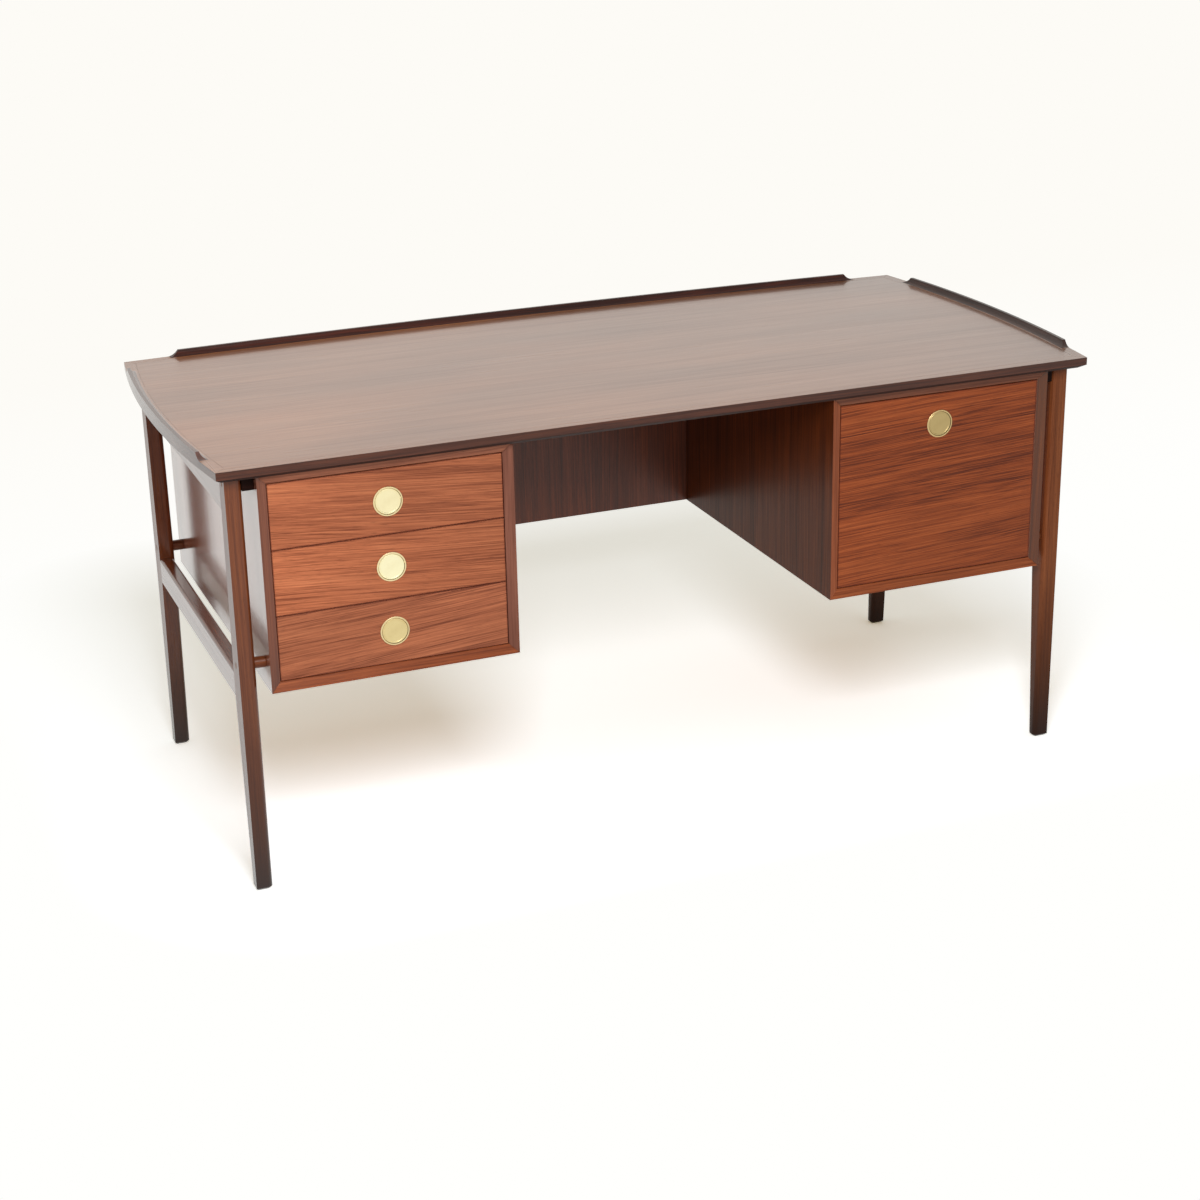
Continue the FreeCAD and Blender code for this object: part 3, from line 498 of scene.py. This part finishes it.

# %% [markdown]
# Legs and rails are solid rosewood, oiled more than polished, and the legs darken towards the floor. The
# spacer blocks sit in shade, and their tones are darkened to nearly black as painted shade. Each plug over
# a screw is cut across the grain, so it is paler than the leg round it and has a dark outline.

# %% Side frames
FRAME_TONES = {
    "left": (shade(80, 34, 14), shade(122, 63, 30), shade(152, 88, 49)),
    "right": (shade(86, 41, 20), shade(130, 72, 40), shade(160, 96, 58)),
}
LEG_POLISH = {
    "left": {"roughness": 0.28, "coat": 0.3, "specular": 0.3},
    "right": {"roughness": 0.28, "coat": 0.0, "specular": 0.15},
}
LEG_FIGURE = {"contrast": 0.7, "veins": 0.1}
PEG_POLISH = {"roughness": 0.30, "specular": 0.25}
# Painted shade: the spacer blocks' tones are darkened to nearly black.
BLOCK_TONES_PAINTED_SHADE = (shade(20, 8, 5), shade(30, 13, 9), shade(46, 22, 15))
BLOCK_POLISH = {"roughness": 0.40, "specular": 0.05}
# A dark line for edges: the outline round the plugs, and painted shade along the drawer fronts.
DARK_OUTLINE_AND_PAINTED_SHADE = shade(78, 13, 0)
PLUG_TONES = (shade(120, 76, 54), shade(156, 108, 82), shade(180, 132, 104))
PLUG_POLISH = {"roughness": 0.40, "specular": 0.1, "edge_mark": 1.0, "edge": DARK_OUTLINE_AND_PAINTED_SHADE}
RAIL_TONES = (shade(84, 36, 14), shade(124, 62, 30), shade(152, 84, 48))
RAIL_POLISH = {"roughness": 0.24, "coat": 0.8}

leg_wood = {}
for word, polish in LEG_POLISH.items():
    leg_wood[word] = timber(f"leg_rosewood_{word}", ALONG_Z, FRAME_TONES[word], dark_foot=True, **polish,
                            **LEG_FIGURE)
peg_wood = timber("peg_rosewood", ALONG_X, FRAME_TONES["left"], **PEG_POLISH)
block_wood = timber("block_rosewood", ALONG_X, BLOCK_TONES_PAINTED_SHADE, **BLOCK_POLISH)
plug_wood = timber("plug_rosewood", ALONG_X, PLUG_TONES, **PLUG_POLISH)
rail_wood = timber("rail_rosewood", ALONG_Y, RAIL_TONES, **RAIL_POLISH)
print(len(bpy.data.materials), "finishes so far")

# %% [markdown]
# The pedestals' sides and the panel between them are veneered with upright grain. The outer sides are
# polished bright, and their tones are lifted as painted light, for light from the left. The sides towards
# the knees stay plain, and their tones are darkened as painted shade. The sloping front edges are strips
# of their own, laid over the boards, and each has its own tone as painted light and shade, by how it faces
# the lamp. The top boards are likewise lighter in the left pedestal and darker in the right, as painted
# light and shade.

# %% Pedestals
PANEL_TONES = (shade(58, 25, 12), shade(98, 46, 24), shade(122, 63, 36))
PANEL_POLISH = {"roughness": 0.36, "specular": 0.45}
BACK_TONES = (shade(84, 42, 28), shade(120, 68, 48), shade(144, 88, 62))
BACK_POLISH = {"roughness": 0.36}
# Painted light and shade: the left pedestal's top board is lighter, the right one's darker.
TOP_BOARD_TONES_PAINTED_LIGHT_AND_SHADE = {
    "left": (shade(120, 68, 48), shade(172, 106, 78), shade(198, 130, 98)),
    "right": (shade(84, 43, 27), shade(124, 70, 46), shade(150, 92, 64)),
}
BOTTOM_BOARD_TONES = (shade(108, 50, 24), shade(152, 78, 42), shade(180, 100, 58))
BOARD_POLISH = {"specular": 0.2}
# Painted light: the outer sides' tones are lifted for light from the left.
OUTER_TONES_PAINTED_LIGHT = (shade(148, 88, 68), shade(188, 120, 96), shade(208, 140, 114))
OUTER_POLISH = {"roughness": 0.20, "coat": 1.0, "specular": 0.5}
# Painted shade: the knee-space sides' tones are darkened.
KNEE_TONES_PAINTED_SHADE = (shade(54, 20, 5), shade(90, 39, 10), shade(114, 55, 20))
KNEE_POLISH = {"specular": 0.12}
BEVEL_COAT = 0.0
# Painted light and shade: some front edge strips are lighter, some darker, by how they face the lamp.
BEVEL_TONES_PAINTED_LIGHT_AND_SHADE = {
    "left_outer": (shade(88, 41, 22), shade(130, 69, 42), shade(156, 90, 57)),
    "left_inner": (shade(84, 49, 38), shade(124, 78, 63), shade(148, 98, 80)),
    "right_inner": (shade(106, 50, 26), shade(154, 83, 50), shade(180, 106, 66)),
    "right_outer": (shade(60, 26, 6), shade(94, 45, 10), shade(120, 64, 24)),
}

panel_veneer = timber("panel_rosewood", ALONG_Z, PANEL_TONES, **PANEL_POLISH)
back_veneer = timber("back_rosewood", ALONG_Z, BACK_TONES, **BACK_POLISH)
bottom_board = timber("bottom_board_rosewood", ALONG_X, BOTTOM_BOARD_TONES, **BOARD_POLISH)
bevel_lap = {}
for board, tones in BEVEL_TONES_PAINTED_LIGHT_AND_SHADE.items():
    bevel_lap[board] = (front_bevel, BEVEL_COAT, {"grain": ALONG_Z, "tones": tones, **LAP_FIGURE})
top_board = {}
side_veneer = {}
knee_veneer = {}
for word, tones in TOP_BOARD_TONES_PAINTED_LIGHT_AND_SHADE.items():
    top_board[word] = timber(f"top_board_rosewood_{word}", ALONG_X, tones, **BOARD_POLISH)
    side_veneer[word] = timber(f"side_rosewood_{word}", ALONG_Z, OUTER_TONES_PAINTED_LIGHT, **OUTER_POLISH,
                               lap=bevel_lap[f"{word}_outer"])
    knee_veneer[word] = timber(f"knee_space_rosewood_{word}", ALONG_Z, KNEE_TONES_PAINTED_SHADE, **KNEE_POLISH,
                               lap=bevel_lap[f"{word}_inner"])
print(len(bevel_lap), "front edges laid over the pedestals' boards")

# %% [markdown]
# The drawer fronts are the warmest veneer, with long fine streaks across the desk. Each front was cut
# from another sheet, so each has its own tones and its own lean of the grain. Each also has a light and a
# dark end, which is painted light: the falloff from the lamp at the left. Their edges take a dark line of
# painted shade, which widens the shadow in the gaps between them and makes the drawers read from a
# distance.

# %% Drawer fronts
DRAWERS = ("drawer_top", "drawer_middle", "drawer_bottom", "file_drawer")
FRONT_TONES = {
    "drawer_top": (shade(112, 54, 32), shade(184, 105, 69), shade(208, 126, 84)),
    "drawer_middle": (shade(118, 57, 34), shade(192, 110, 72), shade(216, 131, 88)),
    "drawer_bottom": (shade(106, 51, 31), shade(175, 101, 68), shade(200, 121, 82)),
    "file_drawer": (shade(84, 31, 10), shade(152, 72, 33), shade(180, 92, 46)),
}
# Painted light: each front's lightness at its left and right ends, as the lamp's light falls off.
FRONT_PAINTED_FALLOFF = {
    "drawer_top": (1.08, 0.86),
    "drawer_middle": (1.14, 0.74),
    "drawer_bottom": (1.03, 0.95),
    "file_drawer": (1.03, 0.97),
}
FRONT_LEANS = {"drawer_top": -5.0, "drawer_middle": -4.0, "drawer_bottom": 3.5, "file_drawer": 2.5}
FRONT_CONTRASTS = {"drawer_top": 1.0, "drawer_middle": 1.0, "drawer_bottom": 1.05, "file_drawer": 1.25}
FRONT_FIGURE = {"streaks": 4.5, "fineness": 560.0, "bands": 0.34}
FRONT_POLISH = {"roughness": 0.38, "specular": 0.25}
# Painted shade: a dark line along each front's edges, widening the shadow in the gaps.
FRONT_PAINTED_SHADE_LINE = {"edge_mark": 1.0, "edge": DARK_OUTLINE_AND_PAINTED_SHADE, "reach": 0.0035, "slope": 8.0}

front_veneer = {}
for drawer in DRAWERS:
    lean = (0.0, math.radians(FRONT_LEANS[drawer]), 0.0)
    low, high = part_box(f"{drawer}_front")
    fade = (low[0], high[0], *FRONT_PAINTED_FALLOFF[drawer])
    front_veneer[drawer] = timber(f"{drawer}_rosewood", ALONG_X, FRONT_TONES[drawer], tilt=lean, fade=fade,
                                  contrast=FRONT_CONTRASTS[drawer], **FRONT_FIGURE, **FRONT_POLISH,
                                  **FRONT_PAINTED_SHADE_LINE)
print(len(front_veneer), "fronts,", len(bpy.data.materials), "finishes so far")

# %% [markdown]
# The drawer boxes are plain pale wood, sealed but not stained, so they look bright when a drawer opens.
# The same shader serves, with paler tones and fewer veins. Dowels are the same kind of wood, turned.

# %% Pale drawer wood
PALE_TONES = (shade(190, 148, 106), shade(216, 178, 132), shade(230, 198, 154))
PALE_POLISH = {"roughness": 0.5, "edge_mark": 0.1}
PALE_FIGURE = {"contrast": 0.8, "pores": 0.25, "veins": 0.1}

drawer_wood = {}
for word, grain in (("x", ALONG_X), ("y", ALONG_Y)):
    drawer_wood[grain] = timber(f"drawer_pale_{word}", grain, PALE_TONES, **PALE_POLISH, **PALE_FIGURE)
print("pale wood for", len(drawer_wood), "grain directions")

# %% [markdown]
# The pulls are brass, turned on a lathe: fine rings run round each one, and tarnish lies in patches.
# The rings follow the distance from the pull's own middle, so each pull needs its own material, made by
# one function. The screws are plain steel with fine scratches.

# %% Brass and steel
RING_SCALE = 2400.0
RING_DETAIL = 2.0
RING_RELIEF = {"Strength": 0.05, "Distance": 0.0001}
FACE_OF_PULL = (1.0, 0.0, 1.0)
PATCH_SCALE = 60.0
PATCH_DETAIL = 3.0
PATCH_SPAN = (0.45, 0.95)
PATCH_SHARE = 0.35
BRASS_EDGE = 0.0006
BRASS_WEAR = 0.4
RUBBED_BRASS = shade(236, 220, 178)
BRASS_DULLNESS = (0.26, 0.40)
STEEL_TINTS = (shade(150, 150, 152), shade(196, 196, 198))
STEEL_DULLNESS = (0.28, 0.45)
SCRATCHES = {"along": 200.0, "across": 4000.0, "detail": 2.0}


def metal(tree, output, colour, dullness, normal=None):
    """Joins a metal's colour, dullness and relief to a material's output."""
    inputs = {"Base Color": colour, "Metallic": 1.0, "Roughness": dullness}
    if normal:
        inputs["Normal"] = normal
    surface = put(tree, "BsdfPrincipled", inputs)
    tree.links.new(surface.outputs[0], output.inputs[0])


def turned_brass(name, middle, tint_in_painted_light, tarnish_in_painted_light):
    """Brass with fine lathe rings round the middle of one pull, in that pull's own tints, which are
    painted light.
    """
    material, tree, output = new_material(name)
    place = put(tree, "TexCoord").outputs["Object"]
    from_middle = work_out_place(tree, "SUBTRACT", place, middle)
    face = work_out_place(tree, "MULTIPLY", from_middle, FACE_OF_PULL)
    reach = put(tree, "VectorMath", {0: face}, operation="LENGTH").outputs["Value"]
    turns = put(tree, "CombineXYZ", {0: reach}).outputs[0]
    ring_noise = {"Vector": turns, "Scale": RING_SCALE, "Detail": RING_DETAIL}
    rings = put(tree, "TexNoise", ring_noise).outputs[0]
    patch_noise = {"Vector": from_middle, "Scale": PATCH_SCALE, "Detail": PATCH_DETAIL}
    patches = put(tree, "TexNoise", patch_noise).outputs[0]
    colour = mix_tints(tree, spread(tree, patches, *PATCH_SPAN, 0.0, PATCH_SHARE), tint_in_painted_light, tarnish_in_painted_light)
    edge_share = work_out(tree, "MULTIPLY", edge_band(tree, BRASS_EDGE), BRASS_WEAR)
    colour = mix_tints(tree, edge_share, colour, RUBBED_BRASS)
    bump = put(tree, "Bump", {**RING_RELIEF, "Height": rings}).outputs[0]
    metal(tree, output, colour, spread(tree, rings, *NOISE_SPAN, *BRASS_DULLNESS), bump)
    return material


def drawn_steel(name):
    """Plain screw steel with fine scratches."""
    material, tree, output = new_material(name)
    place = put(tree, "TexCoord").outputs["Object"]
    scratch = drawn_noise(tree, place, ALONG_X, **SCRATCHES)
    colour = mix_tints(tree, scratch, *STEEL_TINTS)
    metal(tree, output, colour, spread(tree, scratch, *NOISE_SPAN, *STEEL_DULLNESS))
    return material


steel = drawn_steel("screw_steel")
print("lathe rings lie about", round(MM_IN_A_METRE / RING_SCALE, 2), "mm apart")

# %% [markdown]
# Now each board takes its finish. The names say what a piece is, so a short list of endings is enough.
# The grain follows the way a joiner would cut the piece: along its length.

# %% Dress the desk
# Painted light: each pull has its own brightness, the middle pull lightest and the file pull darkest.
DISC_GOLD_PAINTED_LIGHT = {
    "drawer_top": (shade(250, 238, 192), shade(214, 192, 142)),
    "drawer_middle": (shade(255, 247, 204), shade(226, 208, 156)),
    "drawer_bottom": (shade(228, 208, 152), shade(190, 166, 112)),
    "file_drawer": (shade(184, 162, 112), shade(150, 128, 82)),
}
RING_GOLD_PAINTED_LIGHT = {
    "drawer_top": (shade(240, 220, 170), shade(200, 174, 122)),
    "drawer_middle": (shade(244, 226, 178), shade(204, 180, 128)),
    "drawer_bottom": (shade(232, 210, 160), shade(194, 168, 116)),
    "file_drawer": (shade(208, 182, 130), shade(172, 144, 96)),
}


def dress(name, material):
    """Puts a material on every slot of a board."""
    board = boards[name]
    if not board.material_slots:
        board.data.materials.append(material)
    for slot in board.material_slots:
        slot.material = material


dress("top_panel", top_veneer)
for word, wood in edge_wood.items():
    dress(f"top_edge_{word}", wood)
for hand in ("left", "right"):
    dress(f"upper_rail_{hand}", rail_wood)
    dress(f"stretcher_{hand}", rail_wood)
    dress(f"leg_front_{hand}", leg_wood[hand])
    dress(f"leg_rear_{hand}", leg_wood[hand])
    dress(f"runners_{hand}", drawer_wood[ALONG_Y])
    dress(f"pedestal_{hand}_outer_side", side_veneer[hand])
    dress(f"pedestal_{hand}_inner_side", knee_veneer[hand])
    dress(f"pedestal_{hand}_back", back_veneer)
    dress(f"pedestal_{hand}_top", top_board[hand])
    dress(f"pedestal_{hand}_bottom", bottom_board)
dress("modesty_panel", panel_veneer)
dress("modesty_dowels", drawer_wood[ALONG_X])
dress("spacer_blocks", block_wood)
dress("spacer_pegs", peg_wood)
dress("screw_plugs", plug_wood)
dress("frame_screws", steel)
dress("top_screws", steel)
for drawer in DRAWERS:
    dress(f"{drawer}_front", front_veneer[drawer])
    dress(f"{drawer}_sides", drawer_wood[ALONG_Y])
    dress(f"{drawer}_back", drawer_wood[ALONG_X])
    dress(f"{drawer}_bottom", drawer_wood[ALONG_X])
    low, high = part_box(f"{drawer}_pull_cup")
    middle = (Vector(low) + Vector(high)) / 2
    disc_brass = turned_brass(f"{drawer}_disc_brass", middle, *DISC_GOLD_PAINTED_LIGHT[drawer])
    dress(f"{drawer}_pull_disc", disc_brass)
    dress(f"{drawer}_pull_pin", disc_brass)
    dress(f"{drawer}_pull_cup", turned_brass(f"{drawer}_ring_brass", middle, *RING_GOLD_PAINTED_LIGHT[drawer]))
print(len(bpy.data.materials), "finishes on", len(boards), "pieces")

# %% [markdown]
# No real board has knife edges: a few strokes of sandpaper take each corner off, and the light then
# draws a thin line along it. A bevel does the same here. The solids arrive with their faces unjoined,
# so the faces are welded first and shaded smooth where they meet at a shallow angle. Weighted normals
# then keep the flats flat.

# %% Ease the edges
WELD_REACH = 0.00001
SHARP_ANGLE = math.radians(38)
EASINGS = {"pull": 0.0002, "screw": 0.0002, "leg": 0.0018, "edge": 0.00025, "front": 0.0006}
PLAIN_EASING = 0.0008
EASING_STEPS = 2


def smooth_rounds():
    """A node group that shades faces smooth, except across sharp edges."""
    group = bpy.data.node_groups.new("smooth_rounds", "GeometryNodeTree")
    for way in ("INPUT", "OUTPUT"):
        group.interface.new_socket("Geometry", in_out=way, socket_type="NodeSocketGeometry")
    start = group.nodes.new("NodeGroupInput")
    end = group.nodes.new("NodeGroupOutput")
    faces = group.nodes.new("GeometryNodeSetShadeSmooth")
    edges = group.nodes.new("GeometryNodeSetShadeSmooth")
    edges.domain = "EDGE"
    angle = group.nodes.new("GeometryNodeInputMeshEdgeAngle")
    shallow = group.nodes.new("ShaderNodeMath")
    shallow.operation = "LESS_THAN"
    shallow.inputs[1].default_value = SHARP_ANGLE
    group.links.new(start.outputs[0], faces.inputs["Geometry"])
    group.links.new(faces.outputs[0], edges.inputs["Geometry"])
    group.links.new(angle.outputs["Unsigned Angle"], shallow.inputs[0])
    group.links.new(shallow.outputs[0], edges.inputs["Shade Smooth"])
    group.links.new(edges.outputs[0], end.inputs[0])
    return group


def ease(board, width):
    """Welds a board's faces, rounds its sharp edges and keeps its flats flat."""
    weld = board.modifiers.new("weld", "WELD")
    weld.merge_threshold = WELD_REACH
    smooth = board.modifiers.new("smooth_rounds", "NODES")
    smooth.node_group = rounds
    bevel = board.modifiers.new("eased_edges", "BEVEL")
    bevel.width = width
    bevel.segments = EASING_STEPS
    bevel.loop_slide = False
    bevel.limit_method = "ANGLE"
    bevel.angle_limit = SHARP_ANGLE
    flats = board.modifiers.new("flat_faces", "WEIGHTED_NORMAL")
    flats.keep_sharp = True


rounds = smooth_rounds()
eased = [name for name in boards if name != "top_panel"]
for name in eased:
    ease(boards[name], next((size for word, size in EASINGS.items() if word in name), PLAIN_EASING))
print(len(eased), "pieces eased")

# %% [markdown]
# A drawer of this kind is dovetailed: the ends of its pale sides are let into the ends of the front,
# widest where they end, so that pulling the drawer cannot part them. They only show when a drawer is
# open. Each tail is a thin wedge that stands a hair proud of the front's end.

# %% Dovetails
TAIL_LENGTH = 0.012
TAIL_PITCH = 0.024
TAIL_ROOT = 0.010
TAIL_FLARE = 0.0025
TAIL_PROUD = 0.0003
TAIL_SUNK = 0.0002


def add_tail(shape, end_x, outward, root_y, middle_z):
    """Adds one tail to a mesh: a wedge on the end of a drawer front."""
    rims = []
    for x in (end_x + outward * TAIL_PROUD, end_x - outward * TAIL_SUNK):
        outline = [
            (root_y, middle_z - TAIL_ROOT / 2),
            (root_y, middle_z + TAIL_ROOT / 2),
            (root_y - TAIL_LENGTH, middle_z + TAIL_ROOT / 2 + TAIL_FLARE),
            (root_y - TAIL_LENGTH, middle_z - TAIL_ROOT / 2 - TAIL_FLARE),
        ]
        rims.append([shape.verts.new((x, y, z)) for y, z in outline])
    outer, inner = rims
    shape.faces.new(outer)
    shape.faces.new(reversed(inner))
    for index in range(len(outer)):
        after = (index + 1) % len(outer)
        shape.faces.new((outer[after], outer[index], inner[index], inner[after]))


def add_dovetails(drawer):
    """The tails on both ends of one drawer front, as one piece that rides on the drawer."""
    front_low, front_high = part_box(f"{drawer}_front")
    side_low, side_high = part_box(f"{drawer}_sides")
    height = side_high[2] - side_low[2]
    count = round(height / TAIL_PITCH)
    shape = bmesh.new()
    for end_x, outward in ((front_low[0], -1), (front_high[0], 1)):
        for step in range(count):
            middle_z = side_low[2] + height * (step + 0.5) / count
            add_tail(shape, end_x, outward, front_high[1], middle_z)
    bmesh.ops.recalc_face_normals(shape, faces=shape.faces)
    mesh = bpy.data.meshes.new(f"{drawer}_dovetails")
    shape.to_mesh(mesh)
    shape.free()
    mesh.materials.append(drawer_wood[ALONG_Y])
    piece = bpy.data.objects.new(f"{drawer}_dovetails", mesh)
    bpy.context.collection.objects.link(piece)
    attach(piece, drawer)
    return 2 * count


tail_counts = [add_dovetails(drawer) for drawer in DRAWERS]
print(sum(tail_counts), "dovetails")
